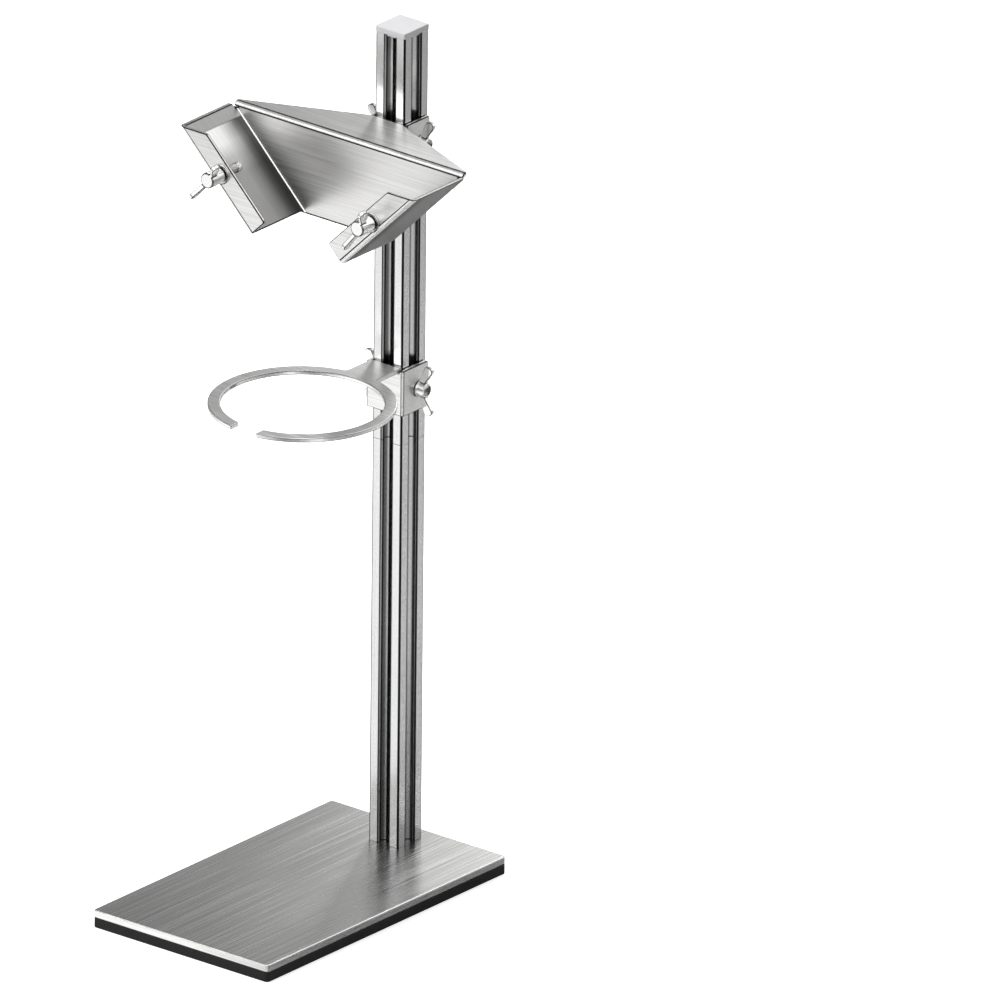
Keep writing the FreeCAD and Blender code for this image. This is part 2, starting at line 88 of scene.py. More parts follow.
def addRamp(tree, source, stops):
    ramp = tree.nodes.new("ShaderNodeValToRGB")
    ramp.color_ramp.elements[0].position = stops[0][0]
    ramp.color_ramp.elements[0].color = (*stops[0][1], 1)
    ramp.color_ramp.elements[1].position = stops[-1][0]
    ramp.color_ramp.elements[1].color = (*stops[-1][1], 1)
    for position, color in stops[1:-1]:
        ramp.color_ramp.elements.new(position).color = (*color, 1)
    tree.links.new(source, ramp.inputs["Fac"])
    return ramp


noiseSpan = (0.3, 0.7)                                             # most of a noise lies between these


def addRange(tree, source, low, high):
    span = tree.nodes.new("ShaderNodeMapRange")
    span.inputs["From Min"].default_value = noiseSpan[0]
    span.inputs["From Max"].default_value = noiseSpan[1]
    span.inputs["To Min"].default_value = low
    span.inputs["To Max"].default_value = high
    tree.links.new(source, span.inputs["Value"])
    return span


def addBump(tree, shader, source, depth, strength):
    bump = tree.nodes.new("ShaderNodeBump")
    bump.inputs["Strength"].default_value = strength
    bump.inputs["Distance"].default_value = depth
    tree.links.new(source, bump.inputs["Height"])
    tree.links.new(bump.outputs["Normal"], shader.inputs["Normal"])


def addMath(tree, operation, first, second):
    step = tree.nodes.new("ShaderNodeMath")
    step.operation = operation
    for socket, value in zip(step.inputs, (first, second)):
        if isinstance(value, bpy.types.NodeSocket):
            tree.links.new(value, socket)
        else:
            socket.default_value = value
    return step.outputs["Value"]


def multiplyColor(tree, color, tone):
    both = tree.nodes.new("ShaderNodeVectorMath")
    both.operation = "SCALE"
    tree.links.new(color, both.inputs["Vector"])
    tree.links.new(tone, both.inputs["Scale"])
    return both.outputs["Vector"]


# Painted shade by depth below the bar's faces: the undercut of the slots is painted dark, the core and the
# slot mouths less so, front and side slots each by their own tones, and the rounded corners get painted
# dark lines
def paintedSlotShade(tree, look):
    place = tree.nodes.new("ShaderNodeTexCoord")
    middle = tree.nodes.new("ShaderNodeVectorMath")
    middle.operation = "SUBTRACT"
    middle.inputs[1].default_value = (0, look["barPlace"], 0)
    tree.links.new(place.outputs["Object"], middle.inputs[0])
    away = tree.nodes.new("ShaderNodeVectorMath")
    away.operation = "ABSOLUTE"
    tree.links.new(middle.outputs["Vector"], away.inputs[0])
    parts = tree.nodes.new("ShaderNodeSeparateXYZ")
    tree.links.new(away.outputs["Vector"], parts.inputs["Vector"])
    tones = {}
    least = addMath(tree, "MINIMUM", parts.outputs["X"], parts.outputs["Y"])
    for key, reach in (("frontTones", parts.outputs["Y"]), ("sideTones", parts.outputs["X"]),
                       ("cornerTones", least)):
        share = addMath(tree, "DIVIDE", reach, look["halfWidth"])
        tones[key] = addRamp(tree, share, [(at, (tone,) * 3) for at, tone in look[key]]).outputs["Color"]
    onSide = addMath(tree, "GREATER_THAN", parts.outputs["X"], parts.outputs["Y"])
    onFront = addMath(tree, "SUBTRACT", 1, onSide)
    tone = addMath(tree, "ADD", addMath(tree, "MULTIPLY", onSide, tones["sideTones"]),
                   addMath(tree, "MULTIPLY", onFront, tones["frontTones"]))
    return addMath(tree, "MULTIPLY", tone, tones["cornerTones"])


# Tone by the distance from a place along a direction; the stops are in millimetres
def wayTone(tree, look):
    place = tree.nodes.new("ShaderNodeTexCoord")
    offset = tree.nodes.new("ShaderNodeVectorMath")
    offset.operation = "SUBTRACT"
    offset.inputs[1].default_value = look["start"]
    tree.links.new(place.outputs["Object"], offset.inputs[0])
    along = tree.nodes.new("ShaderNodeVectorMath")
    along.operation = "DOT_PRODUCT"
    reach = look["stops"][-1][0] * mm
    along.inputs[1].default_value = [part / reach for part in look["way"]]
    tree.links.new(offset.outputs["Vector"], along.inputs[0])
    stops = [(distance * mm / reach, (tone,) * 3) for distance, tone in look["stops"]]
    return addRamp(tree, along.outputs["Value"], stops).outputs["Color"]


# Painted shade on the sides of the cradle: darker into the bend and further down, with a painted reflection
# band, a duller strip, along the top edge
def sideShade(tree, look):
    tone = addMath(tree, "MULTIPLY", wayTone(tree, look["inwards"]), wayTone(tree, look["downwards"]))
    return addMath(tree, "MAXIMUM", tone, wayTone(tree, look["paintedTopBand"]))


grainSpan = (0.32, 0.68)
grainRoughness = 0.65


# Metal with a fine grain drawn out along one direction
def brushedMetal(name, look):
    material, tree, shader = startMaterial(name)
    grain = addNoise(tree, look["strokes"], look["grainScale"], look.get("grainDetail", 4),
                     grainRoughness, look.get("grainTurn", (0, 0, 0)))
    cloud = addNoise(tree, (1, 1, 1), look["cloudScale"], 2)
    both = addMath(tree, "ADD", addMath(tree, "MULTIPLY", grain.outputs["Fac"], look["grainShare"]),
                   addMath(tree, "MULTIPLY", cloud.outputs["Fac"], 1 - look["grainShare"]))
    color = addRamp(tree, both, list(zip(grainSpan, (look["dark"], look["light"])))).outputs["Color"]
    # Painted shade in the bar's slots and along its corners
    if "slot" in look:
        color = multiplyColor(tree, color, paintedSlotShade(tree, look["slot"]))
    # Painted light and shade on the cradle's sides
    if "side" in look:
        color = multiplyColor(tree, color, sideShade(tree, look["side"]))
    tree.links.new(color, shader.inputs["Base Color"])
    gloss = addRange(tree, both, look["smooth"], look["rough"])
    tree.links.new(gloss.outputs["Result"], shader.inputs["Roughness"])
    shader.inputs["Metallic"].default_value = 1
    addBump(tree, shader, grain.outputs["Fac"], look["grainDepth"], look["grainBump"])
    return material


# Moulded plastic or rubber: fine pebbled skin and a faint uneven tone
def mouldedSkin(name, look):
    material, tree, shader = startMaterial(name)
    skin = addNoise(tree, (1, 1, 1), look["skinScale"], 2)
    cloud = addNoise(tree, (1, 1, 1), look["cloudScale"], 3)
    color = addRamp(tree, cloud.outputs["Fac"], list(zip(noiseSpan, (look["dark"], look["light"]))))
    tree.links.new(color.outputs["Color"], shader.inputs["Base Color"])
    gloss = addRange(tree, skin.outputs["Fac"], look["smooth"], look["rough"])
    tree.links.new(gloss.outputs["Result"], shader.inputs["Roughness"])
    shader.inputs["Specular IOR Level"].default_value = look["specular"]
    addBump(tree, shader, skin.outputs["Fac"], look["skinDepth"], look["skinBump"])
    return material


baseSteel = brushedMetal("baseSteel", {
    "dark": (0.42, 0.418, 0.413), "light": (0.66, 0.657, 0.65), "smooth": 0.20, "rough": 0.30,
    "strokes": (1, 120, 1), "grainScale": 1000, "cloudScale": 16, "grainShare": 0.92,
    "grainDepth": 0.00004, "grainBump": 0.2})
# Painted shade: the long sides of the base are a darker copy of its steel
baseSideShadeSteel = brushedMetal("baseSideShadeSteel", {
    "dark": (0.34, 0.338, 0.335), "light": (0.42, 0.418, 0.413), "smooth": 0.25, "rough": 0.30,
    "strokes": (1, 300, 1), "grainScale": 900, "cloudScale": 16, "grainShare": 0.92,
    "grainDepth": 0.00002, "grainBump": 0.04})
bracketLook = {
    "dark": (0.66, 0.657, 0.65), "light": (0.92, 0.917, 0.91), "smooth": 0.32, "rough": 0.40,
    "strokes": (90, 1, 1), "grainScale": 1300, "cloudScale": 30, "grainShare": 0.92,
    "grainDepth": 0.00003, "grainBump": 0.12}
bracketSteel = brushedMetal("bracketSteel", bracketLook)
# Painted light and shade: the channels' inner faces are a lighter copy of the bracket steel, their outer
# faces a much darker one
channelSideLightAndShade = {"inner": {"dark": (0.80, 0.797, 0.79), "light": (0.94, 0.937, 0.93)},
                "outer": {"dark": (0.19, 0.189, 0.187), "light": (0.27, 0.268, 0.265)}}
# Painted shade along the channels' sides, in millimetres from the front top corner, and the painted
# reflection band along the top edge
sideTones = {
    "inner": {"inwards": [(0, 0.9), (14, 1), (22, 0.95), (30, 0.55), (35, 0.22), (39, 0.09), (50, 0.09)],
              "downwards": [(0, 0), (9.2, 0), (10.2, 1), (20, 1), (28, 0.62), (38, 0.36), (60, 0.3),
                            (90, 0.3)],
              "paintedTopBand": [(0, 0.42), (9.2, 0.42), (10.2, 0), (20, 0)]},
    "outer": {"inwards": [(0, 0.25), (8, 0.3), (13, 0.9), (18, 1), (50, 1)],
              "downwards": [(0, 1), (90, 1)], "paintedTopBand": [(0, 0), (20, 0)]}}
sideSteel = {}
sideLean = math.radians(45)                                        # both channels slope down to the middle
frontCorner = {"left": (boxOf("cradle_bracket")[0].x, -8 * mm, 425.9 * mm),
               "right": (boxOf("cradle_bracket")[1].x, -8 * mm, 425.9 * mm)}
for side, inwards in (("left", 1), ("right", -1)):
    downhill = (inwards * math.cos(sideLean), 0, -math.sin(sideLean))
    start = frontCorner[side]
    for skin in ("inner", "outer"):
        tones = sideTones[skin]
        sideSteel[side, skin] = brushedMetal(f"{side}{skin.capitalize()}SideSteel", {
            **bracketLook, **channelSideLightAndShade[skin], "grainTurn": (0, inwards * sideLean, 0),
            "side": {"inwards": {"start": start, "way": (0, 1, 0), "stops": tones["inwards"]},
                     "downwards": {"start": start, "way": downhill, "stops": tones["downwards"]},
                     "paintedTopBand": {"start": start, "way": downhill, "stops": tones["paintedTopBand"]}}})
barLow, barHigh = boxOf("post_lower")
postAluminium = brushedMetal("postAluminium", {
    "dark": (0.62, 0.62, 0.62), "light": (0.70, 0.70, 0.70), "smooth": 0.19, "rough": 0.24,
    "strokes": (1, 1, 400), "grainScale": 900, "cloudScale": 40, "grainShare": 0.85,
    "grainDepth": 0.00001, "grainBump": 0.04,
    # Painted shade in the slots and painted dark lines along the corners, multiplied into the colour
    "slot": {"barPlace": (barLow.y + barHigh.y) / 2, "halfWidth": (barHigh.x - barLow.x) / 2,
             "frontTones": [(0.0, 1), (0.40, 1), (0.45, 0.75), (0.48, 0.4), (0.51, 0.2), (0.60, 0.12),
                            (0.70, 0.05), (0.91, 0.03), (0.93, 0.45), (0.985, 0.45), (0.995, 1)],
             "sideTones": [(0.0, 1), (0.40, 1), (0.415, 0.35), (0.44, 0.35), (0.47, 0.8), (0.56, 0.75),
                           (0.60, 0.3), (0.66, 0.3), (0.80, 0.55), (0.92, 0.55), (0.945, 0.03),
                           (0.985, 0.03), (0.995, 1)],
             "cornerTones": [(0.0, 1), (0.89, 1), (0.925, 0.04), (1.0, 0.04)]}})
wingSteel = brushedMetal("wingSteel", {
    "dark": (0.78, 0.777, 0.77), "light": (0.90, 0.897, 0.89), "smooth": 0.10, "rough": 0.20,
    "strokes": (1, 1, 1), "grainScale": 900, "grainDetail": 3, "cloudScale": 120, "grainShare": 0.5,
    "grainDepth": 0.00004, "grainBump": 0.15})
fastenerSteel = brushedMetal("fastenerSteel", {
    "dark": (0.62, 0.617, 0.61), "light": (0.78, 0.777, 0.77), "smooth": 0.14, "rough": 0.26,
    "strokes": (1, 1, 1), "grainScale": 1600, "grainDetail": 3, "cloudScale": 150, "grainShare": 0.5,
    "grainDepth": 0.00003, "grainBump": 0.15})
paintedEdgeShade = brushedMetal("paintedEdgeShade", {                            # painted shade: near-black lines along the rounded edges
    "dark": (0.015, 0.015, 0.015), "light": (0.04, 0.04, 0.04), "smooth": 0.3, "rough": 0.4,
    "strokes": (1, 1, 1), "grainScale": 1200, "grainDetail": 2, "cloudScale": 150, "grainShare": 0.5,
    "grainDepth": 0.00002, "grainBump": 0.1})
rubberFoot = mouldedSkin("rubberFoot", {
    "dark": (0.008, 0.008, 0.009), "light": (0.016, 0.016, 0.017), "smooth": 0.6, "rough": 0.8,
    "skinScale": 1400, "cloudScale": 25, "specular": 0.25, "skinDepth": 0.0001, "skinBump": 0.4})
capPlastic = mouldedSkin("capPlastic", {
    "dark": (0.70, 0.70, 0.715), "light": (0.76, 0.76, 0.775), "smooth": 0.38, "rough": 0.5,
    "skinScale": 2200, "cloudScale": 60, "specular": 0.5, "skinDepth": 0.00004, "skinBump": 0.15})
print("materials made")


def paint(piece, material):
    piece.data.materials.clear()
    piece.data.materials.append(material)


# Sheet metal, bar and small parts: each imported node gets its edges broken

# A hole that a washer or flange covers keeps its edge: along 0 is a bore along X, 1 along Y
def inHole(point, hole):
    across = [axis for axis in range(3) if axis != hole["along"]]
    return math.hypot(*(point[axis] - hole["middle"][axis] for axis in across)) < hole["radius"]


# Angles in degrees. Of two edges at one corner, alike is the cosine past which they run side by side
softening = {"merge": 0.001 * mm, "flatAngle": 0.4, "sharpAngle": 35, "smoothAngle": 32, "alike": 0.85,
             "room": 1.5}


# Vertices where a bevel that needs that much room would run into its neighbours
def crowdedVertices(mesh, room):
    sharp = {}
    crowded = set()
    for item in mesh.edges:
        for index, other in (item.vertices, reversed(item.vertices)):
            along = mesh.vertices[other].co - mesh.vertices[index].co
            if item.select:
                sharp.setdefault(index, []).append(along.normalized())
            elif along.length < room:
                crowded.add(index)
    for index, ways in sharp.items():
        for place, way in enumerate(ways):
            if any(way.dot(other) > softening["alike"] for other in ways[:place]):
                crowded.add(index)
    return crowded


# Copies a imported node, welds it and rounds its sharp edges by a hair, as tumbling does
def softenedCopy(nodeName, look):
    piece = bpy.data.objects.new(nodeName + "_finished", nodes[nodeName].data.copy())
    bpy.context.scene.collection.objects.link(piece)
    paint(piece, look["material"])
    for face in piece.data.polygons:
        face.material_index = 0
    if look.get("edgeMaterial"):
        piece.data.materials.append(look["edgeMaterial"])
    bpy.ops.object.select_all(action="DESELECT")
    piece.select_set(True)
    bpy.context.view_layer.objects.active = piece
    bpy.ops.object.mode_set(mode="EDIT")
    bpy.ops.mesh.select_all(action="SELECT")
    bpy.ops.mesh.customdata_custom_splitnormals_clear()
    bpy.ops.mesh.remove_doubles(threshold=softening["merge"])
    bpy.ops.mesh.dissolve_limited(angle_limit=math.radians(softening["flatAngle"]))
    bpy.ops.mesh.select_all(action="DESELECT")
    bpy.ops.mesh.select_mode(type="EDGE")
    bpy.ops.mesh.edges_select_sharp(sharpness=math.radians(softening["sharpAngle"]))
    bpy.ops.object.mode_set(mode="OBJECT")
    crowded = crowdedVertices(piece.data, look["edge"] * look.get("room", softening["room"]))
    weights = piece.data.attributes.new("bevel_weight_edge", "FLOAT", "EDGE")
    for item in piece.data.edges:
        ends = [piece.data.vertices[index].co for index in item.vertices]
        hidden = any(all(inHole(end, hole) for end in ends) for hole in look.get("holes", ()))
        free = not hidden and crowded.isdisjoint(item.vertices)
        weights.data[item.index].value = 1 if item.select and free else 0
    edge = piece.modifiers.new("brokenEdge", "BEVEL")
    edge.width = look["edge"]
    edge.segments = look["steps"]
    edge.limit_method = "WEIGHT"
    edge.use_clamp_overlap = False
    # The rounded edges get the edge material, painted dark lines that stand in for shade along them
    if look.get("edgeMaterial"):
        edge.material = 1
    bpy.ops.object.modifier_apply(modifier="brokenEdge")
    bpy.ops.object.shade_smooth_by_angle(angle=math.radians(softening["smoothAngle"]))
    level = piece.modifiers.new("flatFaces", "WEIGHTED_NORMAL")
    level.keep_sharp = True
    bpy.ops.object.modifier_apply(modifier="flatFaces")
    return piece


bodies = frame["record"]["behaviour"]["bodies"]
bodyOf = {name: body for body, members in bodies.items() for name in members}


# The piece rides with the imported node's body and stands in for that node
def handOver(piece, nodeName):
    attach(piece, bodyOf[nodeName])
    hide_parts(nodeName)


softened = {
    "rubber_pad": {"edge": 0.5 * mm, "steps": 3, "material": rubberFoot},
    "base_plate": {"edge": 0.2 * mm, "steps": 2, "material": baseSteel},
    "post_lower": {"edge": 0.3 * mm, "steps": 2, "material": postAluminium, "edgeMaterial": paintedEdgeShade},
    "post_upper": {"edge": 0.3 * mm, "steps": 2, "material": postAluminium, "edgeMaterial": paintedEdgeShade},
    "post_cap": {"edge": 0.2 * mm, "steps": 2, "material": capPlastic},
    "ring_bracket": {"edge": 0.5 * mm, "steps": 3, "material": bracketSteel, "edgeMaterial": paintedEdgeShade},
    "cradle_bracket": {"edge": 0.55 * mm, "steps": 3, "material": bracketSteel, "edgeMaterial": paintedEdgeShade},
    "nose_pad_left": {"edge": 0.2 * mm, "steps": 2, "material": wingSteel},
    "nose_pad_right": {"edge": 0.2 * mm, "steps": 2, "material": wingSteel},
    "lip_insert_left": {"edge": 0.25 * mm, "steps": 2, "material": wingSteel, "edgeMaterial": paintedEdgeShade},
    "lip_insert_right": {"edge": 0.25 * mm, "steps": 2, "material": wingSteel, "edgeMaterial": paintedEdgeShade},
}
wingLook = {"edge": 0.34 * mm, "steps": 3, "room": 1, "material": wingSteel, "edgeMaterial": paintedEdgeShade}
washerLook = {"edge": 0.2 * mm, "steps": 2, "material": fastenerSteel, "edgeMaterial": paintedEdgeShade}
holeRadius = {"bolt": 3.2 * mm, "insert": 4 * mm}
for bracket in ("ring", "cradle"):
    boltMiddle = middleOf(f"{bracket}_clamp_bolt_left")
    softened[f"{bracket}_bracket"]["holes"] = [
        {"along": 0, "radius": holeRadius["bolt"], "middle": boltMiddle}]
    for side in ("left", "right"):
        softened[f"{bracket}_washer_{side}"] = washerLook
        softened[f"{bracket}_wing_nut_{side}"] = wingLook
for side in ("left", "right"):
    softened["cradle_bracket"]["holes"].append(
        {"along": 1, "radius": holeRadius["insert"], "middle": middleOf(f"nose_pad_{side}")})

flatWays = [Vector(way).normalized() for way in (
    (1, 0, 0), (-1, 0, 0), (0, 1, 0), (0, -1, 0), (0, 0, 1), (0, 0, -1),
    (1, 0, 1), (1, 0, -1), (-1, 0, 1), (-1, 0, -1))]
# Degrees away from the flat sheet, and how far sideways a cheek of the clamp faces
bendMarks = {"flat": 2, "runOut": 13, "sideways": 0.9}
backOfCorners = 71 * mm
frontOfAll = -1                                                    # well in front of every piece


# Painted highlight along the bends, with painted dark lines where they run out into the flat sheet
def paintBendLightAndShade(piece, behind):
    for face in piece.data.polygons:
        lean = math.degrees(min(face.normal.angle(way) for way in flatWays))
        onCheek = abs(face.normal.x) > bendMarks["sideways"] and face.center.y > backOfCorners
        if face.material_index == 0 and lean > bendMarks["flat"] and face.center.y > behind and not onCheek:
            face.material_index = 1 if lean < bendMarks["runOut"] else 2


# How far up a face looks, with 1 for a level face and 0 for an upright one
ringRim = {"level": 0.97, "upper": 0.5, "upright": 0.1}
endOfRing = 52 * mm


# Painted light and shade on the ring: walls and upper rims painted bright, the faces below and between them
# painted as dark lines
def paintRing(piece):
    piece.data.materials.append(wingSteel)
    paintBendLightAndShade(piece, endOfRing)
    for face in piece.data.polygons:
        if face.center.y < endOfRing and face.normal.z < ringRim["level"]:
            paintedBright = face.normal.z > ringRim["upper"] or abs(face.normal.z) < ringRim["upright"]
            face.material_index = 2 if paintedBright else 1


backOfLips = -5 * mm
frontOfBackPlate = 35 * mm
alongSide = 0.99                                                   # of 1 for a face that lies in the side


# Painted highlight and dark lines on the bends, and the channels' slanting sides, inside and out, get their
# own painted light and shade
def paintCradle(piece):
    finishes = piece.data.materials
    finishes.append(wingSteel)
    paintBendLightAndShade(piece, frontOfAll)
    for side, across in (("left", 1), ("right", -1)):
        for skin, facing in (("inner", 1), ("outer", -1)):
            way = Vector((across, 0, 1)).normalized() * facing
            finishes.append(sideSteel[side, skin])
            for face in piece.data.polygons:
                onSide = face.center.x * across < 0 and backOfLips < face.center.y < frontOfBackPlate
                if face.material_index == 0 and onSide and face.normal.dot(way) > alongSide:
                    face.material_index = len(finishes) - 1


baseRim = {"level": 0.97, "upright": 0.1, "end": 0.6}


# Painted highlight on the softened top edge, the ends painted lighter and the long sides painted darker
def paintBase(piece):
    for finish in (bracketSteel, wingSteel, baseSideShadeSteel):
        piece.data.materials.append(finish)
    for face in piece.data.polygons:
        if baseRim["upright"] < face.normal.z < baseRim["level"]:
            face.material_index = 2
        elif abs(face.normal.z) < baseRim["upright"]:
            face.material_index = 1 if abs(face.normal.y) > baseRim["end"] else 3


furtherPaint = {"ring_bracket": paintRing, "cradle_bracket": paintCradle, "base_plate": paintBase}
for nodeName, look in softened.items():
    piece = softenedCopy(nodeName, look)
    if nodeName in furtherPaint:
        furtherPaint[nodeName](piece)
    handOver(piece, nodeName)
for nodeName in ("base_screw", "post_joining_stud"):
    paint(nodes[nodeName], fastenerSteel)
print("plates, bar and small parts finished")


# Threads

# Own copy of a finished piece, turned and put in place, with the place kept in its mesh
def placeCopy(original, name, place):
    piece = bpy.data.objects.new(name, original.data.copy())
    bpy.context.scene.collection.objects.link(piece)
    piece.data.transform(place)
    return piece


# Cuts a finished piece off at a plane and closes the cut; what lies along outward goes
def trimPiece(piece, point, outward):
    bpy.ops.object.mode_set(mode="EDIT")
    bpy.ops.mesh.select_mode(type="VERT")
    bpy.ops.mesh.select_all(action="SELECT")
    bpy.ops.mesh.bisect(plane_co=point, plane_no=outward, use_fill=True, clear_outer=True)
    bpy.ops.object.mode_set(mode="OBJECT")


def joinTo(piece, thread):
    thread.select_set(True)
    piece.select_set(True)
    bpy.context.view_layer.objects.active = piece
    bpy.ops.object.join()


threadLook = {"pitch": 0.8, "crest": 2.5, "root": 2.04, "flat": 0.1, "steps": 28, "smoothAngle": 25}


# Threaded stud standing on Z from low to high; its top end is run out to a blunt point
def cutThread(name, low, high, look):
    pitch = look["pitch"] * mm
    crest = look["crest"] * mm
    root = look["root"] * mm
    flat = look["flat"] * mm
    slope = (pitch - 2 * flat) / 2
    bpy.ops.object.select_all(action="DESELECT")
    bpy.ops.mesh.primitive_plane_add(size=mm)
    bpy.ops.object.mode_set(mode="EDIT")
    bpy.ops.mesh.select_mode(type="VERT")
    bpy.ops.mesh.select_all(action="SELECT")
    bpy.ops.mesh.merge(type="CENTER")
    bpy.ops.transform.translate(value=(root, 0, low - 2 * pitch))
    turns = math.ceil((high - low) / pitch) + 3
    for turn in range(turns):
        top = crest if turn < turns - 2 else root
        for across, along in ((top - root, slope), (0, flat), (root - top, slope), (0, flat)):
            bpy.ops.mesh.extrude_vertices_move(TRANSFORM_OT_translate={"value": (across, 0, along)})
    bpy.ops.object.mode_set(mode="OBJECT")
    stud = bpy.context.object
    stud.name = name
    spin = stud.modifiers.new("helix", "SCREW")
    spin.screw_offset = pitch
    spin.steps = look["steps"]
    spin.render_steps = look["steps"]
    bpy.ops.object.modifier_apply(modifier="helix")
    bpy.ops.object.mode_set(mode="EDIT")
    bpy.ops.mesh.select_all(action="SELECT")
    bpy.ops.mesh.remove_doubles(threshold=softening["merge"])
    bpy.ops.mesh.bisect(plane_co=(0, 0, low), plane_no=(0, 0, -1), use_fill=True, clear_outer=True)
    bpy.ops.mesh.select_all(action="SELECT")
    bpy.ops.mesh.bisect(plane_co=(0, 0, high), plane_no=(0, 0, 1), use_fill=True, clear_outer=True)
    bpy.ops.mesh.select_all(action="SELECT")
    bpy.ops.mesh.normals_make_consistent(inside=False)
    bpy.ops.object.mode_set(mode="OBJECT")
    bpy.ops.object.shade_smooth_by_angle(angle=math.radians(look["smoothAngle"]))
    paint(stud, fastenerSteel)
    return stud


lipFace = boxOf("cradle_bracket")[0].y
noseFoot = boxOf("nose_pad_left")[0].y
hubFoot = 1.9 * mm                                                 # in front of the lip's front face
thumbStud = cutThread("thumbStudMaster", -hubFoot, noseFoot - lipFace, threadLook)
for side in ("left", "right"):
    nodeName = f"thumb_screw_{side}"
    head = softenedCopy(nodeName, wingLook)
    trimPiece(head, (0, lipFace - hubFoot, 0), (0, 1, 0))
    axis = middleOf(f"nose_pad_{side}")
    place = Matrix.Translation((axis.x, lipFace, axis.z)) @ Matrix.Rotation(math.radians(-90), 4, "X")
    joinTo(head, placeCopy(thumbStud, "thumbStud", place))
    handOver(head, nodeName)
bpy.data.objects.remove(thumbStud)

boltLook = {"edge": 0.12 * mm, "steps": 2, "material": fastenerSteel}
neckEnd = 9.6 * mm
neckOverlap = 0.1 * mm
for bracket in ("ring", "cradle"):
    boltEnd = boxOf(f"{bracket}_clamp_bolt_right")[1].x
    stud = cutThread("clampStudMaster", neckEnd - neckOverlap, boltEnd, threadLook)
    for side, direction in (("left", -1), ("right", 1)):
        nodeName = f"{bracket}_clamp_bolt_{side}"
        head = softenedCopy(nodeName, boltLook)
        trimPiece(head, (direction * neckEnd, 0, 0), (direction, 0, 0))
        axis = middleOf(nodeName)
        place = (Matrix.Translation((0, axis.y, axis.z))
                 @ Matrix.Rotation(math.radians(90 * direction), 4, "Y"))
        joinTo(head, placeCopy(stud, "clampStud", place))
        handOver(head, nodeName)
    bpy.data.objects.remove(stud)
print("threads cut")


# Camera
cameraPlace = {"azimuth": 39.1429, "elevation": 22.5258, "roll": 0.50758, "width": 0.530914,
               "aimHeight": 0.01, "aimRight": 0.106382, "aimUp": 0.203168, "distance": 1.4, "clipEnd": 50}


def makeCamera(place):
    azimuth, elevation, roll = (math.radians(place[key]) for key in ("azimuth", "elevation", "roll"))
    right = Vector((math.cos(azimuth), math.sin(azimuth), 0))
    back = Vector((math.sin(azimuth) * math.cos(elevation), -math.cos(azimuth) * math.cos(elevation),
                   math.sin(elevation)))
    up = back.cross(right)
    across = right * math.cos(roll) + up * math.sin(roll)
    upright = up * math.cos(roll) - right * math.sin(roll)
    lens = bpy.data.cameras.new("photoCamera")
    lens.type = "ORTHO"
    lens.ortho_scale = place["width"]
    lens.clip_end = place["clipEnd"]
    camera = bpy.data.objects.new("photoCamera", lens)
    bpy.context.scene.collection.objects.link(camera)
    turn = Matrix((across, upright, back)).transposed()
    spot = Vector((0, 0, place["aimHeight"])) + across * place["aimRight"] + upright * place["aimUp"]
    camera.matrix_world = Matrix.Translation(spot + back * place["distance"]) @ turn.to_4x4()
    bpy.context.scene.camera = camera


makeCamera(cameraPlace)


# Floor, tent and lamps

# 1 for what the camera sees, straight or by reflection or through glass, else 0
def seenShare(tree):
    ray = tree.nodes.new("ShaderNodeLightPath")
    straight = addMath(tree, "MAXIMUM", ray.outputs["Is Camera Ray"], ray.outputs["Is Glossy Ray"])
    return addMath(tree, "MAXIMUM", straight, ray.outputs["Is Transmission Ray"])


def makeFloor(look):
    bpy.ops.object.select_all(action="DESELECT")
    bpy.ops.mesh.primitive_plane_add(size=look["size"], location=(0, 0, 0))
    floor = bpy.context.object
    floor.name = "studioFloor"
    material, tree, shader = startMaterial("studioFloor")
    shader.inputs["Base Color"].default_value = look["color"]
    shader.inputs["Roughness"].default_value = look["roughness"]
    glow = tree.nodes.new("ShaderNodeEmission")
    glow.inputs["Color"].default_value = (1, 1, 1, 1)
    tree.links.new(addMath(tree, "MULTIPLY", seenShare(tree), look["glow"]), glow.inputs["Strength"])
    both = tree.nodes.new("ShaderNodeAddShader")
    output = next(node for node in tree.nodes if node.type == "OUTPUT_MATERIAL")
    tree.links.new(shader.outputs["BSDF"], both.inputs[0])
    tree.links.new(glow.outputs["Emission"], both.inputs[1])
    tree.links.new(both.outputs["Shader"], output.inputs["Surface"])
    material.cycles.emission_sampling = "NONE"                     # its glow is a backdrop, not a lamp
    paint(floor, material)


# Passes from one tone to the other as the value goes through the span
def mixTones(tree, value, span, first, second):
    share = tree.nodes.new("ShaderNodeMapRange")
    share.inputs["From Min"].default_value = span[0]
    share.inputs["From Max"].default_value = span[1]
    tree.links.new(value, share.inputs["Value"])
    both = tree.nodes.new("ShaderNodeMix")
    both.data_type = "RGBA"
    tree.links.new(share.outputs["Result"], both.inputs["Factor"])
    tree.links.new(first, both.inputs[6])                          # 6 and 7 are its colour inputs
    tree.links.new(second, both.inputs[7])
    return both.outputs[2]                                         # and 2 its colour result


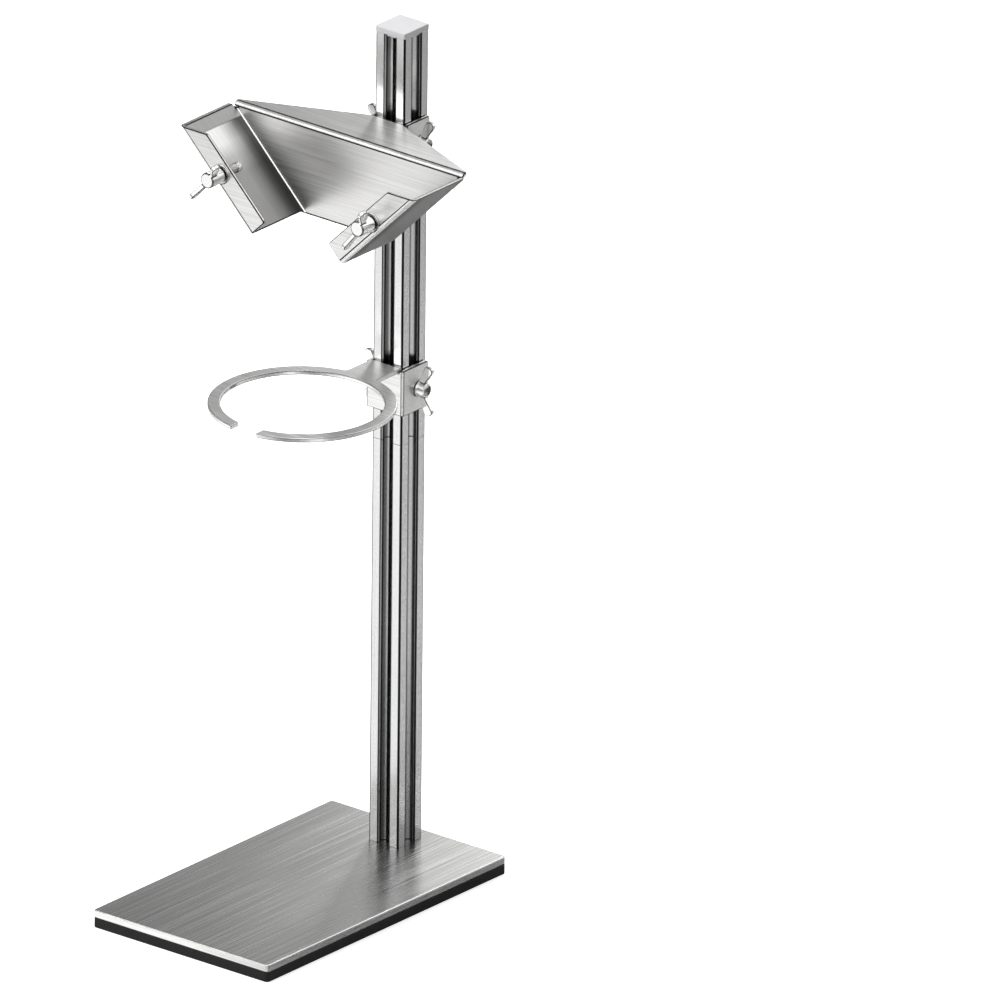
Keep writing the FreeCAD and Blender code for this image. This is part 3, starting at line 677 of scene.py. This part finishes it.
# The tent is what metal sees: cloth in plain tones, in bands from low to high. Only glossy rays meet it.
def makeTent(look):
    bpy.ops.object.select_all(action="DESELECT")
    bpy.ops.mesh.primitive_circle_add(vertices=look["corners"], radius=look["radius"], fill_type="NGON",
                                      location=(0, 0, look["floorGap"]))
    tent = bpy.context.object
    tent.name = "reflectionTent"
    bpy.ops.object.mode_set(mode="EDIT")
    bpy.ops.mesh.extrude_region_move(TRANSFORM_OT_translate={"value": (0, 0, look["wall"])})
    for step in look["dome"]:
        bpy.ops.mesh.extrude_region_move(TRANSFORM_OT_translate={"value": (0, 0, step["rise"])})
        bpy.ops.transform.resize(value=(step["narrow"], step["narrow"], 1))
    bpy.ops.object.mode_set(mode="OBJECT")
    tent.location = (0, look["setback"], 0)
    material = bpy.data.materials.new("reflectionTent")
    material.use_nodes = True
    tree = material.node_tree
    tree.nodes.clear()
    output = tree.nodes.new("ShaderNodeOutputMaterial")
    glow = tree.nodes.new("ShaderNodeEmission")
    place = tree.nodes.new("ShaderNodeTexCoord")
    angle = tree.nodes.new("ShaderNodeTexGradient")
    angle.gradient_type = "RADIAL"
    tree.links.new(place.outputs["Object"], angle.inputs["Vector"])
    bands = {}
    for band in ("near", "low", "middle", "high"):
        stops = [((degrees + 180) / 360, (tone,) * 3) for degrees, tone in look[band]]
        ramp = addRamp(tree, angle.outputs["Fac"], stops)
        ramp.name = band
        bands[band] = ramp.outputs["Color"]
    parts = tree.nodes.new("ShaderNodeSeparateXYZ")
    tree.links.new(place.outputs["Object"], parts.inputs["Vector"])
    spread = tree.nodes.new("ShaderNodeVectorMath")
    spread.operation = "LENGTH"
    tree.links.new(place.outputs["Object"], spread.inputs["Vector"])
    floorTone = mixTones(tree, spread.outputs["Value"], look["nearEnds"], bands["near"], bands["low"])
    wallTone = mixTones(tree, parts.outputs["Z"], look["lowEnds"], floorTone, bands["middle"])
    tone = mixTones(tree, parts.outputs["Z"], look["middleEnds"], wallTone, bands["high"])
    tree.links.new(tone, glow.inputs["Color"])
    tree.links.new(glow.outputs["Emission"], output.inputs["Surface"])
    paint(tent, material)
    for rays in ("camera", "diffuse", "transmission", "volume_scatter", "shadow"):
        setattr(tent, "visible_" + rays, False)


def makeLamp(name, look):
    light = bpy.data.lights.new(name, "AREA")
    light.shape = "RECTANGLE"
    light.size, light.size_y = look["size"]
    light.energy = look["power"]
    lamp = bpy.data.objects.new(name, light)
    bpy.context.scene.collection.objects.link(lamp)
    lamp.location = look["place"]
    aim = Vector(look["target"]) - Vector(look["place"])
    lamp.rotation_euler = aim.to_track_quat("-Z", "Y").to_euler()
    lamp.visible_camera = False


makeFloor({"size": 12, "color": (0.8, 0.8, 0.8, 1), "roughness": 0.9, "glow": 0.75})
# Angle round the post in degrees (0 is +X, 90 is +Y, -90 the front) and the tone of the cloth there
makeTent({"radius": 0.85, "corners": 96, "floorGap": 0.0004, "wall": 0.9, "setback": 0.08,
          "dome": [{"rise": 0.25, "narrow": 0.75}, {"rise": 0.15, "narrow": 0.5}],
          "nearEnds": (0.22, 0.28), "lowEnds": (0.15, 0.20), "middleEnds": (0.48, 0.54),
          "near": [(-180, 0.5), (-150, 1.0), (-120, 1.15), (-90, 1.1), (-60, 0.1), (-30, 0.08), (0, 0.08),
                   (30, 0.25), (60, 0.45), (90, 0.3), (120, 0.2), (150, 0.3), (180, 0.5)],
          "low": [(-180, 0.4), (-155, 0.95), (-130, 1.15), (-115, 1.15), (-100, 0.8), (-75, 0.1),
                  (-55, 0.3), (-40, 0.9), (-25, 0.3), (0, 0.1), (25, 0.3), (50, 0.5), (75, 0.3),
                  (95, 0.05), (120, 0.02), (150, 0.1), (180, 0.4)],
          "middle": [(-180, 0.4), (-150, 0.4), (-120, 0.4), (-90, 0.4), (-60, 0.3), (-30, 0.3), (0, 0.3),
                     (30, 0.4), (60, 0.5), (90, 0.9), (115, 1.3), (125, 1.1), (131, 0.6), (137, 0.3),
                     (145, 0.25), (160, 0.3), (180, 0.4)],
          "high": [(-180, 0.5), (-150, 0.5), (-120, 0.7), (-90, 1.2), (-75, 2.0), (-50, 2.0), (-25, 0.6),
                   (0, 0.7), (30, 1.1), (60, 1.3), (80, 0.9), (100, 0.8), (112, 0.8), (120, 0.6),
                   (128, 0.35), (134, 0.12), (142, 0.1), (160, 0.15), (180, 0.5)]})
makeLamp("keyLamp", {"size": (0.9, 0.9), "power": 24, "place": (-1.1, -1.2, 1.5), "target": (0, 0, 0.2)})
makeLamp("topLamp", {"size": (0.8, 0.8), "power": 10, "place": (-0.35, 0.1, 1.9), "target": (0, 0, 0.2)})
makeLamp("rimLamp", {"size": (0.25, 0.25), "power": 9, "place": (-0.50, 1.27, 0.75),
                     "target": (0, 0, 0.05)})

world = bpy.data.worlds.new("studioWorld")
world.use_nodes = True
background = world.node_tree.nodes["Background"]
background.inputs["Color"].default_value = (1, 1, 1, 1)
skyGlow = {"base": 0.25, "seen": 0.75}
brightness = addMath(world.node_tree, "MULTIPLY", seenShare(world.node_tree), skyGlow["seen"])
brightness = addMath(world.node_tree, "ADD", brightness, skyGlow["base"])
world.node_tree.links.new(brightness, background.inputs["Strength"])
world.cycles.sampling_method = "NONE"
bpy.context.scene.world = world
bpy.context.scene.view_settings.view_transform = "Standard"
print("studio made")
